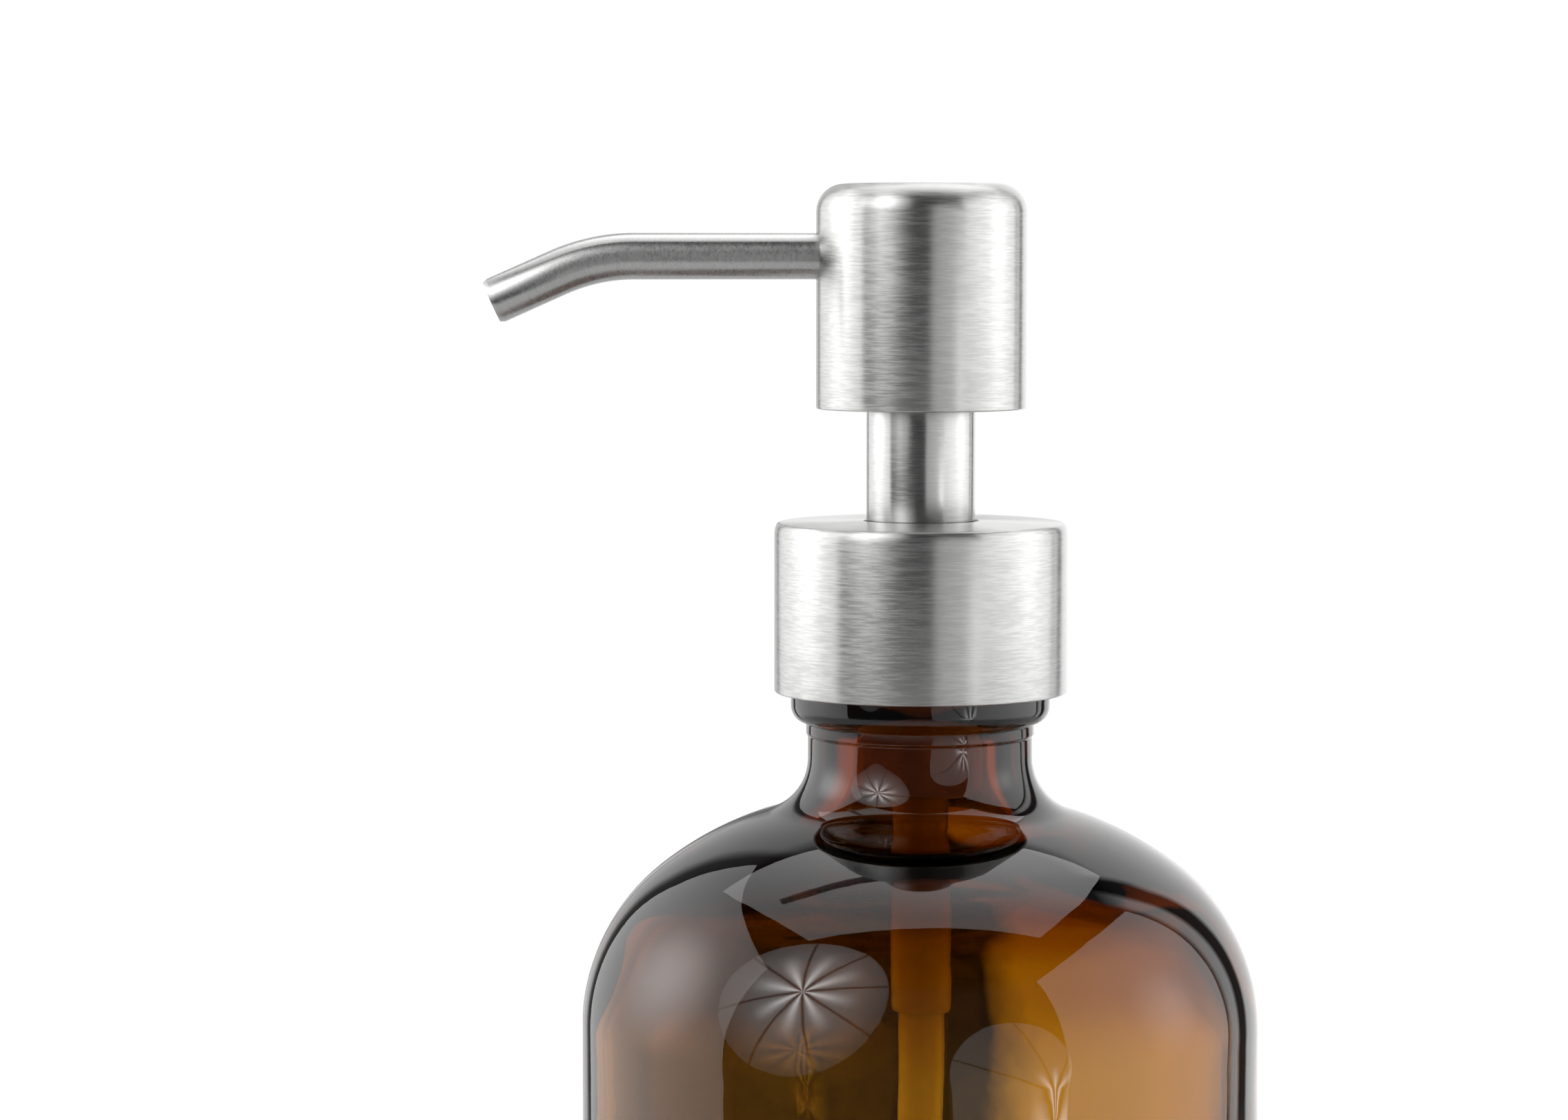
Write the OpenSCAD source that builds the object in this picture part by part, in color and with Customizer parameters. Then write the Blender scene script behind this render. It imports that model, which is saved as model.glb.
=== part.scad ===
// Soap pump dispenser: a round-shouldered glass bottle with a screw-on steel hand pump.
// The origin is the centre of the bottle's foot, +Z points up and the spout points along -X.

/* [Bottle] */
// Outside diameter of the round body
body_d = 75.6; // [72:0.2:80]
// Height at which the straight wall turns into the shoulder
body_h = 116.5; // [90:0.5:140]
// Radius of the rounded heel
heel_r = 6; // [4:0.5:8]
// Diameter of the push-up in the middle of the foot
pushup_d = 49; // [40:1:56]
// Height of the push-up at the centre
pushup_h = 2.5; // [1.5:0.1:4]
// Thickness of the glass in the body and the shoulder
glass_wall = 2.3; // [1.8:0.1:2.8]
// Thickness of the glass in the floor
floor_t = 4; // [3:0.1:6]
// Radius of the corner between the floor and the wall, inside
floor_corner_r = 5; // [3:0.5:8]
// Radius of the lower shoulder
shoulder_r = 22.5; // [20:0.5:25]
// Angle that the lower shoulder turns through
shoulder_angle = 51; // [46:1:56]
// Radius of the flatter upper shoulder
upper_shoulder_r = 37; // [34:0.5:40]
// Radius of the blend from the shoulder into the neck
neck_blend_r = 6.5; // [5:0.5:8]

/* [Neck finish] */
// Outside diameter of the neck
neck_d = 25; // [24.6:0.1:25.6]
// Bore of the neck
neck_bore_d = 21.8; // [20.8:0.1:22]
// Length of the plain neck under the mould ring
neck_len = 2.4; // [1:0.1:6]
// Width and depth of the mould ring under the bead
mould_ring_h = 1.6; // [1:0.1:3]
mould_ring_d = 25.4; // [25.2:0.1:26.4]
// Diameter and height of the carrying bead
bead_d = 28.9; // [28:0.1:30]
bead_h = 5.7; // [4:0.1:6.5]
// Height from the bead to the lip
finish_h = 11.4; // [10.8:0.1:13]
// Diameter of the finish between the threads
finish_root_d = 25.1; // [24.8:0.1:25.3]
// Diameter over the thread
thread_d = 27.4; // [27:0.1:27.6]
// Rise of the thread in one turn
thread_pitch = 4.233; // [4:0.001:4.4]
// Width of the glass thread at its root and at its crest
thread_root_w = 2.6; // [2.2:0.1:2.8]
thread_crest_w = 1; // [0.6:0.1:1.2]
// Turns of thread on the glass
thread_turns = 1.25; // [1:0.05:1.4]
// Drop from the lip to the middle of the top thread end
thread_drop = 2.2; // [1.8:0.1:2.6]

/* [Threaded closure] */
// Clear space round the thread crests
thread_gap = 0.35; // [0.3:0.05:0.5]
// Width of the closure's thread at its root and at its crest
closure_root_w = 2.1; // [1.6:0.1:2.2]
closure_crest_w = 0.8; // [0.5:0.1:0.9]
// Turns of thread in the closure
closure_turns = 1.5; // [1:0.1:1.6]
// Gap between the skirt and the carrying bead
skirt_gap = 1.1; // [0.6:0.1:2]
// Thickness of the closure's top
closure_top_t = 2.25; // [1.8:0.05:3]

/* [Steel collar] */
// Outside diameter of the collar
collar_d = 32.6; // [32.2:0.1:34]
// Height of the collar
collar_h = 19.15; // [17.6:0.05:21]
// Thickness of the steel in the collar and the head
shell_t = 0.5; // [0.4:0.05:0.6]
// Rounding of the collar's top corner
collar_edge_r = 1.3; // [1:0.1:2]
// Rise of the collar's top from its edge to its hole
collar_dome = 0.3; // [0.1:0.05:0.6]
// Clear space between the collar's hole and the sleeve
collar_hole_gap = 0.35; // [0.2:0.05:0.6]

/* [Head] */
// Outside diameter of the head
head_d = 23.3; // [22.5:0.1:26]
// Height of the head
head_h = 24.9; // [22:0.1:28]
// Rounding of the head's top corner
head_edge_r = 3.1; // [2:0.1:4]
// Height of the spout's centre above the head's lower edge
spout_rise = 16.9; // [14:0.1:18]
// Recess of the plastic core inside the head's lower edge
core_recess = 0.6; // [0.2:0.1:1.5]
// Wall of the core, its floor and its ribs
core_wall = 1.2; // [1:0.1:1.5]
// Depth of the seats that take the sleeve and the stem
sleeve_seat = 4; // [3:0.1:5]
stem_seat = 8; // [6:0.1:9]

/* [Spout] */
// Outside diameter of the spout
spout_d = 5.1; // [4.6:0.1:5.6]
// Wall of the steel tube
spout_wall = 0.5; // [0.4:0.05:0.6]
// Distance from the head's axis to the start of the bend
spout_reach = 31.7; // [24:0.1:40]
// Radius of the bend, to the tube's centre
bend_r = 21; // [14:0.5:30]
// Angle of the bend
bend_angle = 24; // [10:1:40]
// Straight length after the bend
nozzle_len = 8; // [4:0.1:14]
// Chamfer round the nozzle's end, across and along
nozzle_chamfer = 0.25; // [0.1:0.05:0.35]
nozzle_chamfer_len = 0.55; // [0.3:0.05:1]
// Wall of the plastic liner in the spout
liner_wall = 0.6; // [0.4:0.05:0.8]
// Recess of the liner behind the nozzle's end
liner_recess = 1.2; // [0.6:0.1:3]

/* [Stem] */
// Outside diameter of the steel sleeve
sleeve_d = 12.1; // [11.6:0.1:12.2]
// Thickness of the sleeve
sleeve_t = 0.4; // [0.3:0.05:0.5]
// Outside diameter of the plastic stem
stem_d = 8.8; // [8:0.1:9.4]
// Bore of the stem
stem_bore_d = 5.8; // [5:0.1:6.2]
// Height of the foot that centres the stem in the sleeve
stem_foot_h = 1.8; // [1.2:0.1:3]
// Full travel of the head
stroke = 11.5; // [8:0.1:11.8]
// Space left between the head and the collar at the end of the travel
head_clearance = 0.9; // [0.5:0.1:2]

/* [Pump cylinder] */
// Bore and wall of the barrel
barrel_bore_d = 12.6; // [12.5:0.1:12.9]
barrel_wall = 0.75; // [0.6:0.05:0.9]
// Length of the barrel under its flange
barrel_len = 27.1; // [26.5:0.1:30]
// Thickness of the barrel's floor and rounding of its lower corner
barrel_floor_t = 1.4; // [1:0.1:2]
barrel_edge_r = 1.5; // [1:0.1:2]
// Diameter and thickness of the flange that rests on the neck
flange_d = 25.7; // [25:0.1:26.6]
flange_t = 1.2; // [1:0.1:1.6]
// Thickness of the sealing gasket
gasket_t = 1; // [0.6:0.1:1.6]
// Outside diameter and length of the tail that holds the dip tube
tail_d = 6.6; // [6.4:0.1:7]
tail_len = 20.9; // [18:0.1:24]
// Height and wall of the ring above the flange that the guide snaps over
boss_h = 1.4; // [1.2:0.1:2]
boss_wall = 1.7; // [1.4:0.1:2]
// Top thickness and skirt wall of the guide ring
guide_top_t = 0.95; // [0.7:0.05:1.1]
guide_wall = 1.25; // [1:0.05:1.4]
// Diameter of the air vent in the barrel
vent_d = 1; // [0.6:0.1:1.4]

/* [Inlet valve] */
// Diameter of the ball
ball_d = 4; // [3.6:0.1:4.2]
// Lift of the ball off its seat
ball_lift = 1.5; // [0.8:0.1:1.6]
// Bore of the chamber round the ball
chamber_d = 5; // [4.8:0.1:5.1]
// Bore of the inlet under the seat
inlet_d = 2.6; // [2:0.1:2.6]
// Thickness of the cage's flange
cage_t = 0.8; // [0.6:0.1:1.2]

/* [Piston] */
// Length of the piston
piston_len = 5; // [4:0.1:6]
// Free movement of the piston on the valve rod
piston_slip = 0.8; // [0.5:0.1:1]
// Diameter of the valve rod's shaft
rod_d = 5.7; // [5:0.1:5.9]
// Thickness of the rod's seat flange
rod_flange_t = 1.2; // [1:0.1:1.6]
// Length of the rod that is pressed into the stem
rod_grip = 6.5; // [4:0.1:10]

/* [Spring] */
// Wire diameter of the return spring
wire_d = 0.8; // [0.6:0.05:0.9]
// Mean diameter of the coil
coil_d = 9.8; // [9.4:0.1:10.2]
// Turns of the spring, its two closed ends included
coil_turns = 8; // [6:1:9]

/* [Dip tube] */
// Outside diameter and wall of the dip tube
dip_d = 5.1; // [4.8:0.1:5.2]
dip_wall = 0.75; // [0.5:0.05:0.9]
// Length of the dip tube inside the tail
dip_grip = 12; // [8:0.1:13]
// Space between the dip tube and the bottle's floor
dip_floor_gap = 2; // [1:0.5:10]
// Slant of the dip tube's cut end
dip_cut_angle = 30; // [0:1:45]

/* [Hidden] */
$fn = 96;

// Clearances: a press fit, a running fit, a free gap between turning parts and a play along the axis
press = 0.02;
running = 0.07;
free_gap = 0.1;
play = 0.05;
// Rounding of the lower rims of the closure, the collar and the head
rim_r = 0.2;
// Overlap that carries a cut or a weld past its face
eps = 0.3;
// Height and width of the faint seam where the bend meets the nozzle
seam_h = 0.02;
seam_w = 0.4;

// Stem
sleeve_r = sleeve_d / 2;
sleeve_bore_r = sleeve_r - sleeve_t;
stem_r = stem_d / 2;
stem_bore_r = stem_bore_d / 2;

// Bottle
body_r = body_d / 2;
neck_r = neck_d / 2;
bore_r = neck_bore_d / 2;
bead_r = bead_d / 2;
bead_edge_r = 2;
bead_top_edge_r = 1.5;
lip_edge_r = 0.5;
pushup_arc_r = (pow(pushup_d / 2, 2) + pow(pushup_h, 2)) / (2 * pushup_h);
pushup_centre = [0, pushup_h - pushup_arc_r];
floor_z = pushup_h + floor_t;
lower_centre = [body_r - shoulder_r, body_h];
upper_centre = lower_centre - (upper_shoulder_r - shoulder_r) * dir(shoulder_angle);
neck_z = blend_centre(0, neck_r, neck_blend_r)[1];
ring_z = neck_z + neck_len;
bead_z = ring_z + mould_ring_h;
finish_z = bead_z + bead_h;
lip_z = finish_z + finish_h;
thread_rise = thread_turns * thread_pitch;
thread_z = lip_z - thread_drop - thread_rise;

// Pump cylinder, stacked on the lip
gasket_z = lip_z;
flange_z = gasket_z + gasket_t;
flange_top_z = flange_z + flange_t;
flange_r = flange_d / 2;
barrel_bore_r = barrel_bore_d / 2;
barrel_r = barrel_bore_r + barrel_wall;
barrel_z = flange_z - barrel_len;
barrel_floor_z = barrel_z + barrel_floor_t;
tail_r = tail_d / 2;
tail_z = barrel_z - tail_len;
tail_edge_r = 0.4;
boss_r = barrel_bore_r + boss_wall;
boss_top_z = flange_top_z + boss_h;
snap_depth = 0.15;
snap_h = 0.4;
snap_z = flange_top_z + (boss_h - snap_h) / 2;
guide_bore_r = sleeve_r + running;
guide_seat_r = boss_r + play;
guide_r = guide_seat_r + guide_wall;
guide_under_z = boss_top_z + play;
guide_top_z = guide_under_z + guide_top_t;

// Closure and collar
closure_under_z = flange_top_z + play;
closure_top_z = closure_under_z + closure_top_t;
closure_bore_r = thread_d / 2 + thread_gap;
closure_crest_r = finish_root_d / 2 + thread_gap;
closure_z = finish_z + skirt_gap;
closure_thread_start = 40;
collar_r = collar_d / 2;
closure_r = collar_r - shell_t - play;
collar_top_z = closure_top_z + play + shell_t + collar_dome;
collar_z = collar_top_z - collar_h;
collar_hole_r = sleeve_r + collar_hole_gap;

// Head, one stroke and a little more above the collar
head_r = head_d / 2;
head_z = collar_top_z + head_clearance + stroke;
head_top_z = head_z + head_h;
head_inner_r = head_r - shell_t;
core_z = head_z + core_recess;
core_r = head_inner_r - play;
core_floor_t = 2;
core_top_z = head_top_z - head_edge_r - play;
hub_r = sleeve_r + press + core_wall;
sleeve_top_z = core_z + sleeve_seat;
stem_top_z = sleeve_top_z + stem_seat;
spout_z = head_z + spout_rise;
spout_r = spout_d / 2;
channel_r = 2.2;
duct_r = spout_r - spout_wall - play - liner_wall;
spout_root = channel_r + core_wall + play;

// Piston group: the piston hangs one slip below the guide ring when the head is up
piston_top_z = guide_under_z - piston_slip - free_gap;
piston_z = piston_top_z - piston_len;
stem_z = piston_top_z + piston_slip + free_gap;
rod_flange_top_z = piston_z - play;
rod_flange_z = rod_flange_top_z - rod_flange_t;
rod_r = rod_d / 2;
rod_flange_r = (coil_d + wire_d) / 2 + free_gap;
rod_boss_r = (coil_d - wire_d) / 2 - 3 * free_gap;
rod_boss_h = 1.6;
piston_bore_r = rod_r + 3 * free_gap;
piston_wall = 0.9;
piston_lip_r = barrel_bore_r - press;
piston_lip_t = 0.6;
piston_skirt_r = piston_lip_r - piston_lip_t;
lip_relief = 0.15;
vent_z = flange_z - vent_d;

// Inlet valve: a ball on a 45 degree seat in the top of the tail
ball_r = ball_d / 2;
chamber_r = chamber_d / 2;
inlet_r = inlet_d / 2;
cage_plug_len = 2.3;
cage_r = barrel_bore_r - 0.2;
cage_plug_z = barrel_floor_z - cage_plug_len;
cage_top_z = barrel_floor_z + cage_t;
ball_z = cage_plug_z - free_gap - ball_lift - ball_r;
seat_apex_z = ball_z - play - ball_r * sqrt(2);
dip_r = dip_d / 2;
dip_top_z = tail_z + dip_grip;
dip_bottom_z = floor_z + dip_floor_gap;

// Spring, between the cage and the valve rod
spring_z = cage_top_z + press;
spring_top_z = rod_flange_z - press;

// Unit vector at an angle in the profile's plane
function dir(a) = [cos(a), sin(a)];

// Angle on the upper shoulder where the blend into a neck of radius r starts
function blend_start(inset, r, blend_r) =
    acos((r + blend_r - upper_centre[0]) / (upper_shoulder_r - inset + blend_r));

// Centre of that blend
function blend_centre(inset, r, blend_r) =
    upper_centre + (upper_shoulder_r - inset + blend_r) * dir(blend_start(inset, r, blend_r));

// Slice of a circle of radius r about c, between two angles
module pie(c, r, a0, a1) {
    reach = 2 * r;
    translate(c)
        intersection() {
            circle(r);
            polygon([[0, 0], reach * dir(a0), reach * dir((a0 + a1) / 2), reach * dir(a1)]);
        }
}

// Rectangle of a turned profile between two radii and two heights
module band(r0, r1, z0, z1) {
    translate([r0, z0]) square([r1 - r0, z1 - z0]);
}

// Solid disc profile with rounded outer corners, r_low below and r_high above
module rounded_disc(r, z0, z1, r_low, r_high) {
    polygon([
        [0, z0], [r - r_low, z0], [r, z0 + r_low], [r, z1 - r_high], [r - r_high, z1], [0, z1]
    ]);
    if (r_low > 0) pie([r - r_low, z0 + r_low], r_low, -90, 0);
    if (r_high > 0) pie([r - r_high, z1 - r_high], r_high, 0, 90);
}

// Body, shoulder and blend of the bottle, drawn inset from the outer face
module bottle_outline(inset, bottom_z, corner_r, r, blend_r) {
    wall_r = body_r - inset;
    a = blend_start(inset, r, blend_r);
    centre = blend_centre(inset, r, blend_r);
    difference() {
        union() {
            polygon([
                [0, bottom_z], [wall_r - corner_r, bottom_z], [wall_r, bottom_z + corner_r],
                [wall_r, body_h], lower_centre + (shoulder_r - inset) * dir(shoulder_angle),
                upper_centre + (upper_shoulder_r - inset) * dir(a), [r, centre[1]], [0, centre[1]]
            ]);
            pie([wall_r - corner_r, bottom_z + corner_r], corner_r, -90, 0);
            pie(lower_centre, shoulder_r - inset, 0, shoulder_angle);
            pie(upper_centre, upper_shoulder_r - inset, shoulder_angle, a);
        }
        translate(centre) circle(blend_r);
    }
}

// Helical ridge from root_r to crest_r that climbs one pitch a turn and fades in and out at its ends
module helical_ridge(root_r, crest_r, root_w, crest_w, turns, z0, start_angle) {
    steps = round(turns * 40);
    fade = 5;
    height = [for (i = [0 : steps]) max(0.12, min(1, i / fade, (steps - i) / fade))];
    points = [
        for (i = [0 : steps])
            let (
                a = start_angle + 360 * turns * i / steps,
                z = z0 + thread_pitch * a / 360,
                top_r = root_r + (crest_r - root_r) * height[i]
            )
            for (p = [[root_r, -root_w], [top_r, -crest_w], [top_r, crest_w], [root_r, root_w]])
                [p[0] * cos(a), p[0] * sin(a), z + p[1] / 2]
    ];
    sides = [
        for (i = [0 : steps - 1], k = [0 : 3])
            [4 * i + k, 4 * i + (k + 1) % 4, 4 * i + 4 + (k + 1) % 4, 4 * i + 4 + k]
    ];
    last = 4 * steps;
    ends = [[3, 2, 1, 0], [last, last + 1, last + 2, last + 3]];
    faces = concat(sides, ends);
    outward = crest_r > root_r;
    polyhedron(points, outward ? faces : [for (f = faces) [for (k = [len(f) - 1 : -1 : 0]) f[k]]]);
}

module glass_bottle() {
    color("#a35a10") {
        rotate_extrude() difference() {
            union() {
                bottle_outline(0, 0, heel_r, neck_r, neck_blend_r);
                band(0, neck_r, neck_z - eps, ring_z + eps);
                band(0, mould_ring_d / 2, ring_z, bead_z + eps);
                rounded_disc(bead_r, bead_z, finish_z, bead_edge_r, bead_top_edge_r);
                rounded_disc(finish_root_d / 2, finish_z - eps, lip_z, 0, lip_edge_r);
            }
            bottle_bore();
            translate(pushup_centre) circle(pushup_arc_r);
        }
        helical_ridge(
            finish_root_d / 2 - eps, thread_d / 2, thread_root_w, thread_crest_w, thread_turns, thread_z, 0
        );
    }
}

// Hollow of the bottle, from its domed floor to the lip
module bottle_bore() {
    inner_blend_r = neck_blend_r + glass_wall;
    difference() {
        union() {
            bottle_outline(glass_wall, floor_t, floor_corner_r, bore_r, inner_blend_r);
            band(0, bore_r, blend_centre(glass_wall, bore_r, inner_blend_r)[1] - eps, lip_z + eps);
        }
        translate(pushup_centre) circle(pushup_arc_r + floor_t);
    }
}

module neck_gasket() {
    color("whitesmoke") rotate_extrude() band(bore_r + play, flange_r, gasket_z, flange_z);
}

module pump_housing() {
    color("#e9e4d8") difference() {
        rotate_extrude() difference() {
            union() {
                band(0, flange_r, flange_z, flange_top_z);
                band(0, boss_r, flange_top_z - eps, boss_top_z);
                band(0, boss_r + snap_depth, snap_z, snap_z + snap_h);
                rounded_disc(barrel_r, barrel_z, flange_z + eps, barrel_edge_r, 0);
                rounded_disc(tail_r, tail_z, barrel_z + eps, tail_edge_r, 0);
            }
            band(0, barrel_bore_r, barrel_floor_z, boss_top_z + eps);
            valve_chamber();
            band(0, dip_r + press, tail_z - eps, dip_top_z);
        }
        translate([0, 0, vent_z]) rotate([0, 90, 0]) cylinder(d = vent_d, h = barrel_r + eps);
    }
}

// Hollow round the ball: the inlet, the 45 degree seat and the chamber above it
module valve_chamber() {
    polygon([
        [0, tail_z + eps], [inlet_r, tail_z + eps], [inlet_r, seat_apex_z + inlet_r],
        [chamber_r, seat_apex_z + chamber_r], [chamber_r, barrel_floor_z + eps],
        [0, barrel_floor_z + eps]
    ]);
}

module guide_ring() {
    color("white") rotate_extrude() difference() {
        band(guide_bore_r, guide_r, flange_top_z + play, guide_top_z);
        band(0, guide_seat_r, flange_top_z, guide_under_z);
        band(0, guide_seat_r + snap_depth, snap_z - play, snap_z + snap_h + play);
    }
}

module dip_tube() {
    color("#efe9dc") difference() {
        cylinder_between(dip_r, dip_bottom_z, dip_top_z - play);
        cylinder_between(dip_r - dip_wall, dip_bottom_z - eps, dip_top_z + eps);
        translate([0, 0, dip_bottom_z + dip_r * tan(dip_cut_angle)])
            rotate([0, -dip_cut_angle, 0])
                translate([-2 * dip_d, -2 * dip_d, -4 * dip_d]) cube(4 * dip_d);
    }
}

// Upright cylinder of radius r between two heights
module cylinder_between(r, z0, z1) {
    translate([0, 0, z0]) cylinder(r = r, h = z1 - z0);
}

module ball_cage() {
    slot_w = 0.9;
    slot_h = 1.6;
    color("white") difference() {
        union() {
            cylinder_between(cage_r, barrel_floor_z, cage_top_z);
            cylinder_between(chamber_r - play, cage_plug_z, barrel_floor_z + eps);
        }
        cylinder_between(inlet_r, cage_plug_z - eps, cage_top_z + eps);
        for (a = [0, 60, 120])
            rotate(a)
                translate([-chamber_r, -slot_w / 2, cage_plug_z - eps])
                    cube([2 * chamber_r, slot_w, slot_h + eps]);
    }
}

module inlet_ball() {
    color("silver") translate([0, 0, ball_z]) sphere(ball_r);
}

module threaded_closure() {
    ridge_z = thread_z - thread_pitch / 2;
    color("#d9d9d6") {
        rotate_extrude() difference() {
            rounded_disc(closure_r, closure_z, closure_top_z, rim_r, collar_edge_r);
            band(0, closure_bore_r, closure_z - eps, closure_under_z);
            band(0, guide_r + free_gap, closure_z, closure_top_z + eps);
        }
        helical_ridge(
            closure_bore_r + eps, closure_crest_r, closure_root_w, closure_crest_w,
            closure_turns, ridge_z, closure_thread_start
        );
    }
}

module steel_collar() {
    inner_r = collar_r - shell_t;
    edge_z = collar_top_z - collar_dome;
    flat_r = collar_r - collar_edge_r;
    color("silver") rotate_extrude() difference() {
        union() {
            rounded_disc(collar_r, collar_z, edge_z, rim_r, collar_edge_r);
            dome_top(flat_r, edge_z);
        }
        rounded_disc(inner_r, collar_z - eps, edge_z - shell_t, 0, collar_edge_r - shell_t);
        dome_top(flat_r, edge_z - shell_t);
        band(0, collar_hole_r, collar_z, collar_top_z + eps);
    }
}

// Low cone that lifts the collar's top from its edge to its hole
module dome_top(r, z) {
    polygon([[0, z - eps], [r, z - eps], [r, z], [collar_hole_r, z + collar_dome], [0, z + collar_dome]]);
}

module return_spring() {
    wire_r = wire_d / 2;
    steps = coil_turns * 28;
    sides = 8;
    // The first and the last turn lie closed, and the turns between them share the rest of the rise
    free_rise = spring_top_z - spring_z - 3 * wire_d;
    rise = [
        for (i = [0 : steps])
            let (
                t = coil_turns * i / steps,
                closed = min(t, 1) + max(t - coil_turns + 1, 0),
                open = min(1, max(0, (t - 1) / (coil_turns - 2)))
            )
            spring_z + wire_r + wire_d * closed + free_rise * open
    ];
    points = [
        for (i = [0 : steps])
            let (a = 360 * coil_turns * i / steps)
            for (k = [0 : sides - 1])
                let (b = 360 * k / sides, r = coil_d / 2 + wire_r * cos(b))
                [r * cos(a), r * sin(a), rise[i] + wire_r * sin(b)]
    ];
    walls = [
        for (i = [0 : steps - 1], k = [0 : sides - 1])
            let (n = (k + 1) % sides)
            [sides * i + k, sides * i + n, sides * (i + 1) + n, sides * (i + 1) + k]
    ];
    ends = [
        [for (k = [sides - 1 : -1 : 0]) k],
        [for (k = [0 : sides - 1]) sides * steps + k]
    ];
    color("gainsboro") polyhedron(points, concat(walls, ends));
}

module piston() {
    web_t = 1.2;
    web_z = piston_z + (piston_len - web_t) / 2;
    color("#f2efe6") rotate_extrude() union() {
        band(piston_bore_r, piston_bore_r + piston_wall, piston_z, piston_top_z);
        band(piston_bore_r, piston_lip_r - lip_relief, web_z, web_z + web_t);
        band(piston_skirt_r, piston_lip_r - lip_relief, piston_z, piston_top_z);
        band(piston_skirt_r, piston_lip_r, piston_z, piston_z + piston_lip_t);
        band(piston_skirt_r, piston_lip_r, piston_top_z - piston_lip_t, piston_top_z);
    }
}

module valve_rod() {
    groove_w = 1.4;
    groove_depth = 1;
    rod_top_z = stem_z + rod_grip;
    color("#e6e2d6") difference() {
        union() {
            cylinder_between(rod_boss_r, rod_flange_z - rod_boss_h, rod_flange_z + eps);
            cylinder_between(rod_flange_r, rod_flange_z, rod_flange_top_z);
            cylinder_between(rod_r, rod_flange_z, rod_top_z);
        }
        for (a = [0 : 90 : 270])
            rotate(a)
                translate([rod_r - groove_depth, -groove_w / 2, rod_flange_top_z + play])
                    cube([rod_r, groove_w, rod_top_z]);
    }
}

module pump_stem() {
    color("white") rotate_extrude() difference() {
        union() {
            band(stem_bore_r, stem_r, stem_z, stem_top_z);
            band(stem_bore_r, sleeve_bore_r - press, stem_z, stem_z + stem_foot_h);
        }
        band(0, rod_r + press, stem_z - eps, stem_z + rod_grip + play);
    }
}

module stem_sleeve() {
    color("silver") rotate_extrude()
        band(sleeve_bore_r, sleeve_r, stem_z, sleeve_top_z - play);
}

module head_core() {
    rib_reach = core_r - core_wall / 2;
    rib_h = core_top_z - core_z - core_floor_t;
    color("#dcdcda") difference() {
        union() {
            rotate_extrude() {
                band(0, core_r, core_z, core_z + core_floor_t);
                band(core_r - core_wall, core_r, core_z, core_top_z);
                band(0, hub_r, core_z, core_top_z);
            }
            for (a = [0, 90, 180, 270])
                rotate(a)
                    translate([hub_r - core_wall / 2, -core_wall / 2, core_z])
                        cube([rib_reach - hub_r + core_wall / 2, core_wall, rib_h]);
            translate([0, 0, spout_z])
                rotate([0, -90, 0]) cylinder(r = spout_r + press + core_wall, h = rib_reach);
        }
        cylinder_between(sleeve_r + press, core_z - eps, sleeve_top_z);
        cylinder_between(stem_r + press, sleeve_top_z - eps, stem_top_z + play);
        cylinder_between(channel_r, stem_top_z - eps, spout_z);
        translate([0, 0, spout_z]) sphere(channel_r);
        translate([0, 0, spout_z]) rotate([0, -90, 0]) cylinder(r = duct_r, h = spout_root + eps);
        translate([-spout_root, 0, spout_z])
            rotate([0, -90, 0]) cylinder(r = spout_r + press, h = core_r);
    }
}

module steel_head() {
    color("silver") difference() {
        rotate_extrude() difference() {
            rounded_disc(head_r, head_z, head_top_z, rim_r, head_edge_r);
            rounded_disc(
                head_inner_r, head_z - eps, head_top_z - shell_t, 0, head_edge_r - shell_t
            );
        }
        translate([0, 0, spout_z])
            rotate([0, -90, 0]) cylinder(r = spout_r + play, h = head_r + eps);
    }
}

// Bar of radius r that follows the spout's centre line from start, and ends tip_cut short of the nozzle
module spout_bar(r, start, tip_cut) {
    turn_centre = [-spout_reach, 0, spout_z - bend_r];
    translate([-start, 0, spout_z]) rotate([0, -90, 0]) cylinder(r = r, h = spout_reach - start);
    translate(turn_centre) rotate([90, 0, 0])
        rotate(90) rotate_extrude(angle = bend_angle) translate([bend_r, 0]) circle(r);
    nozzle_frame() {
        cylinder(r = r, h = nozzle_len - tip_cut);
        translate([0, 0, -seam_w / 2]) cylinder(r = r + seam_h, h = seam_w);
    }
}

// Places its children at the bend's end, with +Z along the nozzle
module nozzle_frame() {
    translate([-spout_reach, 0, spout_z - bend_r]) rotate([0, -bend_angle, 0])
        translate([0, 0, bend_r]) rotate([0, -90, 0]) children();
}

module spout() {
    color("silver") difference() {
        spout_bar(spout_r, spout_root + play, 0);
        spout_bar(spout_r - spout_wall, spout_root - eps, -eps);
        nozzle_frame() translate([0, 0, nozzle_len - nozzle_chamfer_len]) nozzle_bevel();
    }
}

// Ring that cuts the chamfer round the nozzle's end
module nozzle_bevel() {
    rotate_extrude() polygon([
        [spout_r, 0], [spout_r + 1, 0], [spout_r + 1, nozzle_chamfer_len + eps],
        [spout_r - nozzle_chamfer, nozzle_chamfer_len + eps],
        [spout_r - nozzle_chamfer, nozzle_chamfer_len]
    ]);
}

module spout_liner() {
    color("white") difference() {
        spout_bar(duct_r + liner_wall, spout_root + play, liner_recess);
        spout_bar(duct_r, spout_root - eps, liner_recess - eps);
    }
}

glass_bottle();
neck_gasket();
pump_housing();
guide_ring();
dip_tube();
ball_cage();
inlet_ball();
threaded_closure();
steel_collar();
return_spring();
piston();
valve_rod();
pump_stem();
stem_sleeve();
head_core();
steel_head();
spout();
spout_liner();
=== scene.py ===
"""Soap pump dispenser: an amber glass bottle with a brushed stainless steel hand pump.

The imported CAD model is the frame. Each turned part is drawn here as a profile in millimetres, given its
rounded corners, spun round the upright axis and scaled to metres; the spout and the spring are swept.
"""
import math

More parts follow.
